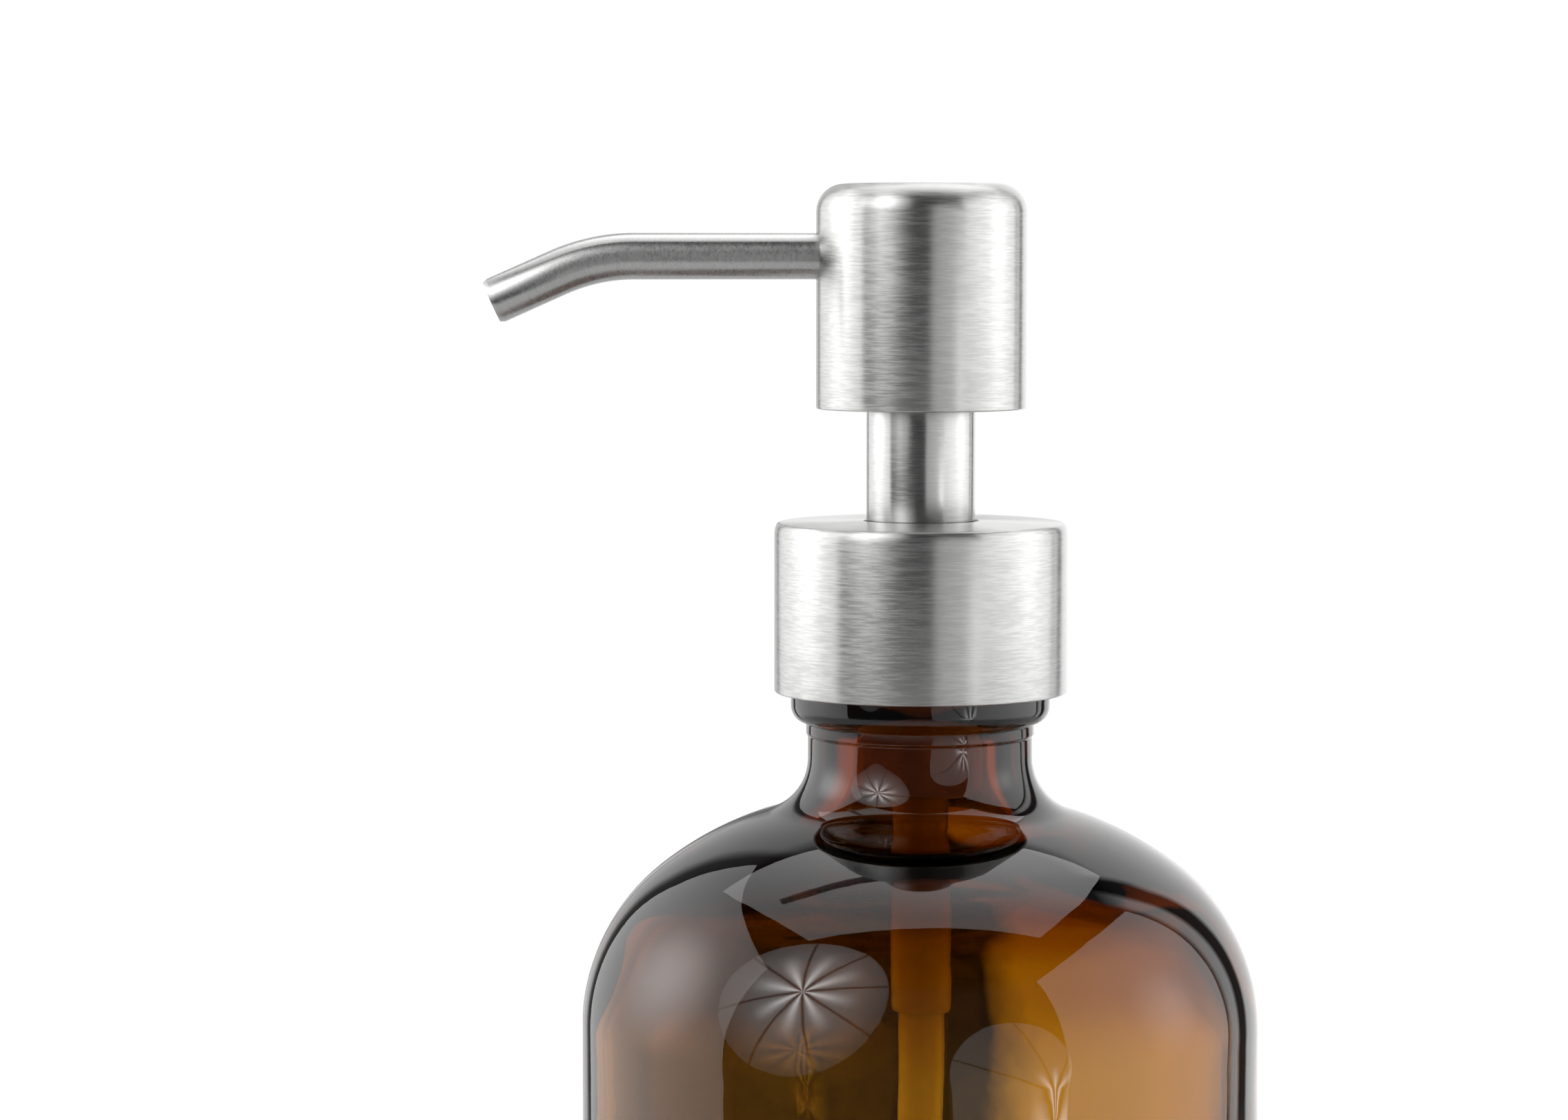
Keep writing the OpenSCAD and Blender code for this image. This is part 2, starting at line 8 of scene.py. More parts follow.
import bmesh
import bpy
from mathutils import Matrix, Vector, noise


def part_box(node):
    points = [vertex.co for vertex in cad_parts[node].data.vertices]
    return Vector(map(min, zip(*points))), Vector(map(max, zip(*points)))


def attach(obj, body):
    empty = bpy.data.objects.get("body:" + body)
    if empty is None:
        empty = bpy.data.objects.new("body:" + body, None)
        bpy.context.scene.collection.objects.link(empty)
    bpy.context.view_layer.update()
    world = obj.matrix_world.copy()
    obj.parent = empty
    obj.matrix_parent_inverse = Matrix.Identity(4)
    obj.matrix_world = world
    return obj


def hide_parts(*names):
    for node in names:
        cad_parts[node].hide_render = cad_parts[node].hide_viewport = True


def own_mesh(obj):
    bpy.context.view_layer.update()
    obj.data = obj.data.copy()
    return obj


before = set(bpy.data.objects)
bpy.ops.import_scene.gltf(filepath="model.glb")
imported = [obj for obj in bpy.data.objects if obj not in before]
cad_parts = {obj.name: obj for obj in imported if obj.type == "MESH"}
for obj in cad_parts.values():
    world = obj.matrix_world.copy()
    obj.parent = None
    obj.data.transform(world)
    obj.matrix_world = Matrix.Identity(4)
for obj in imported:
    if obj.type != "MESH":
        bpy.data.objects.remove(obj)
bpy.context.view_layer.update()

MM = 0.001
SEGMENTS = 192          # facets round a turned part
CREASE = 35             # degrees; a sharper edge than this is shaded as an edge
MERGE_GAP = 1e-3        # mm; points nearer than this become one
CUT_SNAP = 1e-5         # mm; a point this near a cutting plane lies on it
SAME = 1e-4             # mm; a smaller difference counts as none


# ---------------------------------------------------------------------------------------------------------
# Sizes, in millimetres
# ---------------------------------------------------------------------------------------------------------

def span(node):
    """Lowest and highest corner of a CAD node, in mm."""
    low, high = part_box(node)
    return low / MM, high / MM


bottle_high = span("glass_bottle")[1]
BODY_R = bottle_high.x
LIP_Z = bottle_high.z
BODY_H = 116.5          # where the straight wall turns into the shoulder
HEEL_R = 6
PUSHUP_R = 24.5         # the push-up under the foot
PUSHUP_H = 2.5
WALL_T = 2.3            # glass in the body and the shoulder
FLOOR_T = 4
HEAVY_T = 1.5           # extra glass in the shoulder, more again in the neck
NECK_HEAVY_T = 1.8
FLOOR_CORNER_R = 5
SHOULDER_R = 22.5
SHOULDER_ANGLE = 51
UPPER_SHOULDER_R = 37
NECK_BLEND_R = 6.5
NECK_R = 12.5
NECK_BORE_R = 10.9
MOULD_RING_R = 12.7
MOULD_RING_H = 1.6
BEAD_R = 14.45          # the carrying bead under the closure
BEAD_H = 5.7
FINISH_R = 12.55        # the finish between the threads
FINISH_H = 11.4
THREAD_R = 13.7
THREAD_PITCH = 4.233
THREAD_TURNS = 1.25
THREAD_DROP = 2.2       # from the lip to the thread's upper end
THREAD_ROOT_W = 2.6
THREAD_CREST_W = 1
THREAD_ROOT_DEPTH = 0.3    # how far the ridge starts inside the finish

FINISH_Z = LIP_Z - FINISH_H
BEAD_Z = FINISH_Z - BEAD_H
RING_Z = BEAD_Z - MOULD_RING_H

collar_low, collar_high = span("steel_collar")
COLLAR_R = collar_high.x
COLLAR_Z = collar_low.z
COLLAR_TOP_Z = collar_high.z
COLLAR_HOLE_R = 6.4
COLLAR_DOME = 0.3
COLLAR_EDGE_R = 1.3
SHELL_T = 0.5           # sheet steel of the collar and the head

head_low, head_high = span("steel_head")
HEAD_R = head_high.x
HEAD_Z = head_low.z
HEAD_TOP_Z = head_high.z
HEAD_EDGE_R = 3.1
HEAD_HOLE_R = 2.6

sleeve_low, sleeve_high = span("stem_sleeve")
SLEEVE_R = sleeve_high.x
SLEEVE_T = 0.4

SPOUT_Z = HEAD_Z + 16.9
SPOUT_R = span("spout")[1].y
SPOUT_WALL = 0.5
SPOUT_START = -span("spout")[1].x
SPOUT_REACH = 31.7      # from the head's axis to the start of the bend
BEND_R = 21
BEND_ANGLE = 24
NOZZLE_LEN = 8
LINER_R = 2.0
LINER_WALL = 0.6
LINER_RECESS = 1.2

housing_low, housing_high = span("pump_housing")
TAIL_Z = housing_low.z
BOSS_TOP_Z = housing_high.z
FLANGE_R = housing_high.x
FLANGE_Z = BOSS_TOP_Z - 2.6
FLANGE_TOP_Z = BOSS_TOP_Z - 1.4
BARREL_Z = TAIL_Z + 20.9
BARREL_FLOOR_Z = BARREL_Z + 1.4
BARREL_R = 7.05
BARREL_BORE_R = 6.3
BOSS_R = 8.0
TAIL_R = 3.3
DIP_SEAT_R = 2.57
DIP_TOP_Z = TAIL_Z + 12
CHAMBER_R = 2.5
INLET_R = 1.3
SEAT_Z = DIP_TOP_Z + 2.82    # where the valve's seat starts to widen

dip_low, dip_high = span("dip_tube")
DIP_R = dip_high.x
DIP_WALL = 0.75
DIP_CUT_ANGLE = 30

spring_low, spring_high = span("return_spring")
WIRE_R = 0.4
COIL_R = spring_high.x - WIRE_R
COIL_TURNS = 8


# ---------------------------------------------------------------------------------------------------------
# Making shapes
# ---------------------------------------------------------------------------------------------------------

def direction(angle):
    """Unit vector at an angle in a profile's plane."""
    return Vector((math.cos(math.radians(angle)), math.sin(math.radians(angle))))


def arc(centre, radius, start, end, step=3):
    """Points of a profile along an arc, a few degrees apart."""
    count = max(2, round(abs(end - start) / step))
    turns = [start + (end - start) * i / count for i in range(count + 1)]
    return [tuple(Vector(centre) + radius * direction(a)) for a in turns]


def draw_profile(bm, points, closed):
    """Draws (radius, height) points as edges. A third number rounds that corner by so many millimetres."""
    verts = [bm.verts.new((p[0], 0, p[1])) for p in points]
    ends = verts[1:] + verts[:1] if closed else verts[1:]
    for pair in zip(verts, ends):
        bm.edges.new(pair)
    corners = [(v, p[2]) for v, p in zip(verts, points) if len(p) > 2]
    for vert, radius in corners:
        bmesh.ops.bevel(
            bm, geom=[vert], offset=radius, offset_type="OFFSET", segments=max(3, round(radius * 5)),
            profile=0.5, affect="VERTICES", material=-1,
        )


def close_up(bm):
    """Merges what touches and turns the faces outwards."""
    bmesh.ops.remove_doubles(bm, verts=bm.verts, dist=MERGE_GAP)
    bmesh.ops.recalc_face_normals(bm, faces=bm.faces)


def turned(points, closed=True, segments=SEGMENTS):
    """A profile spun right round the upright axis."""
    bm = bmesh.new()
    draw_profile(bm, points, closed)
    bmesh.ops.spin(
        bm, geom=bm.verts[:] + bm.edges[:], cent=(0, 0, 0), axis=(0, 0, 1),
        angle=2 * math.pi, steps=segments, use_merge=True,
    )
    close_up(bm)
    return bm


def wound(bm, end, turns, rise, steps, first):
    """A face wound up round the upright axis. What it starts from stays only as the closed first end."""
    spun = bmesh.ops.spin(
        bm, geom=end, cent=(0, 0, 0), axis=(0, 0, 1), dvec=(0, 0, rise / steps),
        angle=2 * math.pi * turns, steps=steps,
    )
    if not first:
        bmesh.ops.delete(bm, geom=end, context="FACES_ONLY")
    return [g for g in spun["geom_last"] if isinstance(g, bmesh.types.BMFace)]


def smooth_shading(bm):
    """Rounds the shading, except over the creases."""
    for face in bm.faces:
        face.smooth = True
    for edge in bm.edges:
        edge.smooth = edge.calc_face_angle(0) < math.radians(CREASE)


def combined(bm, other, operation):
    """A closed bmesh with another one added to it or cut out of it."""
    objects = []
    for shape in (bm, other):
        mesh = bpy.data.meshes.new("blank")
        shape.to_mesh(mesh)
        shape.free()
        objects.append(bpy.data.objects.new("blank", mesh))
        bpy.context.scene.collection.objects.link(objects[-1])
    join = objects[0].modifiers.new("join", "BOOLEAN")
    join.operation, join.solver, join.object = operation, "EXACT", objects[1]
    result = bmesh.new()
    result.from_object(objects[0], bpy.context.evaluated_depsgraph_get())
    for obj in objects:
        bpy.data.meshes.remove(obj.data)
    return result


def piece(name, bm, body, slot, material, *nodes):
    """Makes a bmesh in millimetres a piece in metres that rides on a body and stands for CAD nodes."""
    bmesh.ops.scale(bm, vec=(MM, MM, MM), verts=bm.verts)
    smooth_shading(bm)
    mesh = bpy.data.meshes.new(name)
    bm.to_mesh(mesh)
    bm.free()
    obj = bpy.data.objects.new(name, mesh)
    bpy.context.scene.collection.objects.link(obj)
    mesh.materials.append(material)
    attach(obj, body)
    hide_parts(*nodes)
    return obj


# ---------------------------------------------------------------------------------------------------------
# Making materials
# ---------------------------------------------------------------------------------------------------------

def linear(code):
    """An sRGB colour, such as "a35a10", as linear RGBA."""
    parts = [int(code[i:i + 2], 16) / 255 for i in (0, 2, 4)]
    return tuple(p / 12.92 if p <= 0.04045 else ((p + 0.055) / 1.055) ** 2.4 for p in parts) + (1,)


def add(tree, kind, settings=None, links=None):
    """Adds a node with its settings and its links."""
    node = tree.nodes.new(kind)
    for key, value in (settings or {}).items():
        if isinstance(key, int) or key in node.inputs:
            node.inputs[key].default_value = value
        else:
            setattr(node, key, value)
    for key, output in (links or {}).items():
        tree.links.new(output, node.inputs[key])
    return node


def new_material(name):
    """An empty material and its tree."""
    material = bpy.data.materials.new(name)
    material.use_nodes = True
    material.node_tree.nodes.clear()
    return material, material.node_tree


def per_mm(size):
    """Scale of a pattern on metre coordinates whose features are size millimetres long."""
    return 1 / (size * MM)


def ramp_stops(node, stops):
    """Sets the stops of a colour ramp."""
    elements = node.color_ramp.elements
    while len(elements) < len(stops):
        elements.new(1)
    for element, (position, colour) in zip(elements, stops):
        element.position = position
        element.color = colour


def lathe_grain(tree, streak, line):
    """Coordinates that run along a turned part's brush lines, round its wall and round its top alike.

    x and y move slowly along a line; the third counts lines from the middle of the top, outwards and down.
    """
    place = add(tree, "ShaderNodeTexCoord").outputs["Object"]
    axes = add(tree, "ShaderNodeSeparateXYZ", links={0: place})
    flat = add(tree, "ShaderNodeVectorMath", {"operation": "MULTIPLY", 1: (1, 1, 0)}, {0: place})
    radius = add(tree, "ShaderNodeVectorMath", {"operation": "LENGTH"}, {0: flat.outputs[0]})
    run = add(
        tree, "ShaderNodeMath", {"operation": "SUBTRACT"},
        {0: radius.outputs["Value"], 1: axes.outputs["Z"]},
    )
    joined = add(
        tree, "ShaderNodeCombineXYZ",
        links={"X": axes.outputs["X"], "Y": axes.outputs["Y"], "Z": run.outputs[0]},
    )
    scaled = add(
        tree, "ShaderNodeVectorMath",
        {"operation": "MULTIPLY", 1: (per_mm(streak), per_mm(streak), per_mm(line))},
        {0: joined.outputs[0]},
    )
    return scaled.outputs[0]


def steel_finish(tree, grain, tone, roughness, bump, anisotropy):
    """Metal whose colour, gloss and surface all follow one set of brush lines, in broad faint patches."""
    faint, full = 0.52, 0.74            # the noise levels between which a line shows
    patch_scale, patch_share = (0.45, 0.45, 0.12), 0.25
    lines = add(
        tree, "ShaderNodeTexNoise", {"Scale": 1, "Detail": 3, "Roughness": 0.6}, {"Vector": grain},
    )
    broad = add(tree, "ShaderNodeVectorMath", {"operation": "MULTIPLY", 1: patch_scale}, {0: grain})
    patches = add(tree, "ShaderNodeTexNoise", {"Scale": 1, "Detail": 2}, {"Vector": broad.outputs[0]})
    mixed = add(
        tree, "ShaderNodeMath", {"operation": "MULTIPLY_ADD", 1: patch_share},
        {0: patches.outputs["Fac"], 2: lines.outputs["Fac"]},
    )
    colour = add(tree, "ShaderNodeValToRGB", links={"Fac": mixed.outputs[0]})
    ramp_stops(colour, [(faint, linear(tone[0])), (full, linear(tone[1]))])
    gloss = add(
        tree, "ShaderNodeMapRange",
        {"From Min": faint, "From Max": full, "To Min": roughness[0], "To Max": roughness[1]},
        {"Value": mixed.outputs[0]},
    )
    relief = add(
        tree, "ShaderNodeBump", {"Strength": bump, "Distance": 0.02 * MM}, {"Height": mixed.outputs[0]},
    )
    shader = add(
        tree, "ShaderNodeBsdfPrincipled",
        {"Metallic": 1, "Anisotropic": anisotropy, "Anisotropic Rotation": 0.25},
        {"Base Color": colour.outputs["Color"], "Roughness": gloss.outputs["Result"],
         "Normal": relief.outputs["Normal"]},
    )
    add(tree, "ShaderNodeOutputMaterial", links={"Surface": shader.outputs[0]})
    return shader


def brushed_round(shader, tree, axis):
    """Turns a steel's grain round an axis, so that its highlights spread along that axis."""
    lay = add(tree, "ShaderNodeTangent", {"direction_type": "RADIAL", "axis": axis})
    tree.links.new(lay.outputs[0], shader.inputs["Tangent"])


def brushed_stainless():
    """Stainless steel sheet, drawn and belt-brushed on a lathe.

    The fine lines run round the part, so lamps stretch into bright upright bands with frayed edges.
    """
    material, tree = new_material("brushed_stainless_steel")
    grain = lathe_grain(tree, streak=2.5, line=0.17)    # a real line is 0.03 mm wide, too fine to show
    shader = steel_finish(tree, grain, ("b3b3b2", "c8c8c7"), (0.28, 0.34), bump=0.03, anisotropy=0.85)
    brushed_round(shader, tree, "Z")
    return material


def polished_stainless():
    """Stainless tube, ground and buffed: sharper bands than the brushed parts and hardly a line."""
    material, tree = new_material("polished_stainless_tube")
    grain = lathe_grain(tree, streak=2, line=0.17)      # coarser than real, as on the brushed parts
    shader = steel_finish(tree, grain, ("b8b8b7", "c0c0bf"), (0.21, 0.26), bump=0.02, anisotropy=0.7)
    brushed_round(shader, tree, "Z")
    return material


def satin_spout_steel():
    """Stainless tube, drawn, then polished across its length to an even satin with a fine speckle."""
    material, tree = new_material("satin_drawn_stainless_tube")
    straight = add(tree, "ShaderNodeAttribute", {"attribute_name": "along_tube"})
    scaled = add(                                       # coarser than real polishing marks
        tree, "ShaderNodeVectorMath",
        {"operation": "MULTIPLY", 1: (per_mm(0.3), per_mm(0.5), per_mm(0.5))},
        {0: straight.outputs["Vector"]},
    )
    grain = scaled.outputs[0]
    shader = steel_finish(tree, grain, ("b5b5b5", "bdbdbc"), (0.27, 0.31), bump=0.01, anisotropy=0.8)
    brushed_round(shader, tree, "X")
    return material


def spring_steel():
    """Stainless spring wire, cold drawn and coiled: bright, with a slight haze."""
    material, tree = new_material("stainless_spring_wire")
    grain = lathe_grain(tree, streak=1, line=0.3)       # coarser than real drawing marks
    steel_finish(tree, grain, ("b0afad", "cfcecc"), (0.2, 0.3), bump=0.1, anisotropy=0.0)
    return material


def ball_steel():
    """Stainless valve ball, lapped to a mirror with the faintest clouds."""
    material, tree = new_material("lapped_stainless_ball")
    clouds = lathe_grain(tree, streak=2, line=2)
    steel_finish(tree, clouds, ("c9c8c6", "d6d5d3"), (0.05, 0.09), bump=0.02, anisotropy=0.0)
    return material


def amber_glass():
    """Amber soda-lime glass, blown in a mould and fire polished.

    The colour is in the thickness of the glass, so edges and the heavy foot go dark and the wall stays
    clear amber. The skin ripples softly, because the mould was cooler than the glass.
    """
    material, tree = new_material("amber_soda_lime_glass")
    place = add(tree, "ShaderNodeTexCoord").outputs["Object"]
    ripple = add(
        tree, "ShaderNodeTexNoise", {"Scale": per_mm(6), "Detail": 2, "Roughness": 0.45},
        {"Vector": place},
    )
    relief = add(
        tree, "ShaderNodeBump", {"Strength": 0.055, "Distance": 0.3 * MM},
        {"Height": ripple.outputs["Fac"]},
    )
    shader = add(
        tree, "ShaderNodeBsdfPrincipled",
        {"Base Color": linear("ffffff"), "Roughness": 0.0, "IOR": 1.52, "Transmission Weight": 1},
        {"Normal": relief.outputs["Normal"]},
    )
    per_metre = 1080                            # how strongly the glass takes colour out of the light
    tint = add(
        tree, "ShaderNodeVolumeAbsorption", {"Color": linear("e5cf00"), "Density": per_metre},
    )
    add(
        tree, "ShaderNodeOutputMaterial",
        links={"Surface": shader.outputs[0], "Volume": tint.outputs[0]},
    )
    return material


def moulded_plastic(name, tone, roughness, clear):
    """An injection-moulded or extruded plastic: a faint pebble, slight tone changes and a soft sheen.

    clear is how much light goes through, from 0 for a filled plastic to 1.
    """
    pebble, cloud, bump = 0.25, 6, 0.12         # the pebble is a little coarser than real
    material, tree = new_material(name)
    place = add(tree, "ShaderNodeTexCoord").outputs["Object"]
    grains = add(tree, "ShaderNodeTexNoise", {"Scale": per_mm(pebble), "Detail": 2}, {"Vector": place})
    clouds = add(tree, "ShaderNodeTexNoise", {"Scale": per_mm(cloud), "Detail": 3}, {"Vector": place})
    colour = add(tree, "ShaderNodeValToRGB", links={"Fac": clouds.outputs["Fac"]})
    ramp_stops(colour, [(0.3, linear(tone[0])), (0.7, linear(tone[1]))])
    gloss = add(
        tree, "ShaderNodeMapRange", {"To Min": roughness[0], "To Max": roughness[1]},
        {"Value": clouds.outputs["Fac"]},
    )
    relief = add(
        tree, "ShaderNodeBump", {"Strength": bump, "Distance": 0.03 * MM},
        {"Height": grains.outputs["Fac"]},
    )
    shader = add(
        tree, "ShaderNodeBsdfPrincipled", {"IOR": 1.5, "Transmission Weight": clear},
        {"Base Color": colour.outputs["Color"], "Roughness": gloss.outputs["Result"],
         "Normal": relief.outputs["Normal"]},
    )
    add(tree, "ShaderNodeOutputMaterial", links={"Surface": shader.outputs[0]})
    return material


# ---------------------------------------------------------------------------------------------------------
# The pieces
# ---------------------------------------------------------------------------------------------------------

def bottle_wall(inset, corner_z, corner_r, neck_r, blend_r):
    """Foot corner, body, shoulder and blend into the neck, inset from the outer face."""
    wall_r, rings = BODY_R - inset, 16
    lower = Vector((BODY_R - SHOULDER_R, BODY_H))
    upper = lower - (UPPER_SHOULDER_R - SHOULDER_R) * direction(SHOULDER_ANGLE)
    reach = UPPER_SHOULDER_R - inset + blend_r
    turn = math.degrees(math.acos((neck_r + blend_r - upper.x) / reach))
    blend = upper + reach * direction(turn)
    return (
        arc((wall_r - corner_r, corner_z), corner_r, -90, 0, step=6)
        + [(wall_r, corner_z + (BODY_H - corner_z) * i / rings) for i in range(1, rings)]
        + arc(lower, SHOULDER_R - inset, 0, SHOULDER_ANGLE)
        + arc(upper, UPPER_SHOULDER_R - inset, SHOULDER_ANGLE, turn, step=2)[1:]
        + arc(blend, blend_r, turn + 180, 180, step=5)[1:]
    )


def dome(radius, rise, width, z):
    """Arc of the push-up from the axis out to width, for a push-up of that radius and rise."""
    r = (radius ** 2 + rise ** 2) / (2 * rise)
    lift = z - rise
    edge = math.degrees(math.asin(width / (r + lift)))
    return arc((0, rise - r), r + lift, 90, 90 - edge, step=1.5)


def bottle_profile():
    """The whole section of the bottle, up its outer face and down its inner one."""
    outer = bottle_wall(0, HEEL_R, HEEL_R, NECK_R, NECK_BLEND_R)
    inner = bottle_wall(
        WALL_T, FLOOR_T + FLOOR_CORNER_R, FLOOR_CORNER_R, NECK_BORE_R, NECK_BLEND_R + WALL_T,
    )
    bore_end, rings = inner[-1][1], 12
    bore = [(NECK_BORE_R, bore_end + (FINISH_Z - bore_end) * i / rings) for i in range(1, rings + 1)]
    finish = [
        (NECK_R, RING_Z, 0.15), (MOULD_RING_R, RING_Z + 0.2, 0.15), (MOULD_RING_R, BEAD_Z, 0.3),
        (BEAD_R, BEAD_Z, 1.85), (BEAD_R, FINISH_Z, 1.4), (FINISH_R, FINISH_Z, 0.25),
        (FINISH_R, LIP_Z, 0.5), (NECK_BORE_R, LIP_Z, 0.5),
    ]
    foot = dome(PUSHUP_R, PUSHUP_H, PUSHUP_R, PUSHUP_H)
    floor = dome(PUSHUP_R, PUSHUP_H, inner[0][0] - 2, PUSHUP_H + FLOOR_T)
    return foot + outer + finish + bore[::-1] + inner[::-1] + floor[::-1]


def glass_bottle(material):
    """The bottle: body, shoulder, neck, carrying bead and screw thread in one closed skin of glass."""
    bm = turned(bottle_profile(), closed=False)
    mould_seam(bm)
    uneven_wall(bm)
    bm = combined(bm, screw_thread(), "UNION")
    piece("amber_bottle", bm, "bottle", "amber_glass", material, "glass_bottle")


def mould_seam(bm):
    """A hair-line ridge up both sides, where the two halves of the mould met.

    The body already has its full width there, so beside its ridge the glass is lower instead.
    """
    half_width, height = 0.25, 0.05
    for y in (-half_width, 0, half_width):
        bmesh.ops.bisect_plane(
            bm, geom=bm.verts[:] + bm.edges[:] + bm.faces[:], dist=CUT_SNAP,
            plane_co=(0, y, 0), plane_no=(0, 1, 0),
        )
    for vert in bm.verts:
        reach = abs(vert.co.x)
        if reach > NECK_R - 0.5 and HEEL_R < vert.co.z < BEAD_Z:
            room = min(height, BODY_R - reach)
            if abs(vert.co.y) < SAME:
                vert.co.x *= (reach + room) / reach
            elif abs(abs(vert.co.y) - half_width) < SAME:
                vert.co.x *= (reach + room - height) / reach


def ease(value, low, high):
    """0 below low, 1 above high, and a smooth rise between them."""
    share = min(1, max(0, (value - low) / (high - low)))
    return share * share * (3 - 2 * share)


def uneven_wall(bm):
    """Blown glass keeps a true outer face. Its inner face wanders, and is heavier in shoulder and neck."""
    wander, wavelength = 0.16, 15
    inner_foot = FLOOR_T + FLOOR_CORNER_R + 2
    facing_in = -0.1                    # an inner face's normal points towards the axis
    bm.normal_update()
    moves = []
    for vert in bm.verts:
        z = vert.co.z
        out = Vector((vert.co.x, vert.co.y, 0))
        if out.length <= 1 or not inner_foot < z < FINISH_Z - 0.5:
            continue
        if vert.normal.dot(out.normalized()) < facing_in:
            heavy = HEAVY_T * ease(z, BODY_H - 1, BODY_H + 11)
            heavy += NECK_HEAVY_T * ease(z, BODY_H + 12, RING_Z - 8)
            drift = wander * noise.noise(vert.co / wavelength) * ease(z, inner_foot, inner_foot + 5)
            moves.append((vert, vert.normal * (heavy + drift) * (1 - ease(z, RING_Z, FINISH_Z - 1))))
    for vert, move in moves:
        vert.co += move


def screw_thread():
    """A helical ridge that rises out of the finish, runs a turn and a quarter and sinks back into it."""
    bm = bmesh.new()
    a_turn, fade, lowest = 40, 5, 0.12  # steps in a turn, steps of run-out and the least height
    steps = round(THREAD_TURNS * a_turn)
    root_r = FINISH_R - THREAD_ROOT_DEPTH
    start_z = LIP_Z - THREAD_DROP - THREAD_TURNS * THREAD_PITCH
    section = [
        (root_r, -THREAD_ROOT_W / 2), (THREAD_R, -THREAD_CREST_W / 2),
        (THREAD_R, THREAD_CREST_W / 2), (root_r, THREAD_ROOT_W / 2),
    ]
    end = [bm.faces.new([bm.verts.new((r, 0, start_z + z)) for r, z in section])]
    for step in range(steps + 1):
        height = max(lowest, min(1, step / fade, (steps - step) / fade))
        for vert in end[0].verts:
            flat = Vector((vert.co.x, vert.co.y, 0))
            if flat.length > root_r + 0.01:
                top_r = root_r + (THREAD_R - root_r) * height
                vert.co += flat.normalized() * (top_r - flat.length)
        if step < steps:
            end = wound(bm, end, 1 / a_turn, THREAD_PITCH / a_turn, 1, step == 0)
    close_up(bm)
    return bm


def pump_housing(material):
    """Barrel, flange and tail of the pump, with the snap ring on its neck and the seat of its valve."""
    snap_z = (FLANGE_TOP_Z + BOSS_TOP_Z) / 2
    upper_tail_r = TAIL_R - 0.08
    bm = turned([
        (DIP_SEAT_R, TAIL_Z, 0.1), (TAIL_R, TAIL_Z, 0.4), (TAIL_R, TAIL_Z + 2.6),
        (upper_tail_r, TAIL_Z + 2.9), (upper_tail_r, BARREL_Z, 0.5),
        (BARREL_R, BARREL_Z, 1.5), (BARREL_R, FLANGE_Z, 0.3),
        (FLANGE_R, FLANGE_Z, 0.15), (FLANGE_R, FLANGE_TOP_Z, 0.15), (BOSS_R, FLANGE_TOP_Z, 0.1),
        (BOSS_R, snap_z - 0.2), (BOSS_R + 0.15, snap_z), (BOSS_R, snap_z + 0.2), (BOSS_R, BOSS_TOP_Z, 0.15),
        (BARREL_BORE_R, BOSS_TOP_Z, 0.15), (BARREL_BORE_R, BARREL_FLOOR_Z, 0.3),
        (CHAMBER_R, BARREL_FLOOR_Z), (CHAMBER_R, SEAT_Z + CHAMBER_R - INLET_R), (INLET_R, SEAT_Z),
        (INLET_R, DIP_TOP_Z), (DIP_SEAT_R, DIP_TOP_Z),
    ], segments=96)
    piece("pump_barrel", bm, "pump_body", "natural_plastic", material, "pump_housing")


def dip_tube(material):
    """The suction tube, cut off at a slant so that it can't seal itself against the floor."""
    low_z, high_z = dip_low.z, dip_high.z
    bm = turned([
        (DIP_R - DIP_WALL, low_z), (DIP_R, low_z), (DIP_R, high_z, 0.1), (DIP_R - DIP_WALL, high_z, 0.1),
    ], segments=64)
    for vert in bm.verts:
        if abs(vert.co.z - low_z) < SAME:
            vert.co.z += (DIP_R + vert.co.x) * math.tan(math.radians(DIP_CUT_ANGLE))
    piece("suction_tube", bm, "pump_body", "natural_plastic", material, "dip_tube")


def steel_collar(material):
    """The steel cover of the closure, pressed from sheet, with a low dome and a hole for the sleeve."""
    inner_r = COLLAR_R - SHELL_T
    edge_z = COLLAR_TOP_Z - COLLAR_DOME
    bm = turned([
        (COLLAR_HOLE_R, COLLAR_TOP_Z, 0.12), (COLLAR_R - 0.8, edge_z + 0.04, 0.3),
        (COLLAR_R, edge_z, COLLAR_EDGE_R), (COLLAR_R, COLLAR_Z, 0.2), (inner_r, COLLAR_Z, 0.1),
        (inner_r, edge_z - SHELL_T, COLLAR_EDGE_R - SHELL_T), (COLLAR_HOLE_R, COLLAR_TOP_Z - SHELL_T, 0.1),
    ])
    piece("collar_shell", bm, "collar", "brushed_steel", material, "steel_collar")


def steel_head(material):
    """The press head: a deep-drawn steel cap with a hole in its side for the spout."""
    inner_r = HEAD_R - SHELL_T
    bm = turned([
        (0, HEAD_TOP_Z), (HEAD_R, HEAD_TOP_Z, HEAD_EDGE_R), (HEAD_R, HEAD_Z, 0.2), (inner_r, HEAD_Z, 0.1),
        (inner_r, HEAD_TOP_Z - SHELL_T, HEAD_EDGE_R - SHELL_T), (0, HEAD_TOP_Z - SHELL_T),
    ], closed=False)
    drill = bmesh.new()
    bmesh.ops.create_cone(
        drill, cap_ends=True, radius1=HEAD_HOLE_R, radius2=HEAD_HOLE_R, depth=4, segments=64,
        matrix=Matrix.Translation((-HEAD_R, 0, SPOUT_Z)) @ Matrix.Rotation(math.radians(90), 4, "Y"),
    )
    bm = combined(bm, drill, "DIFFERENCE")
    piece("press_head", bm, "plunger", "brushed_steel", material, "steel_head")


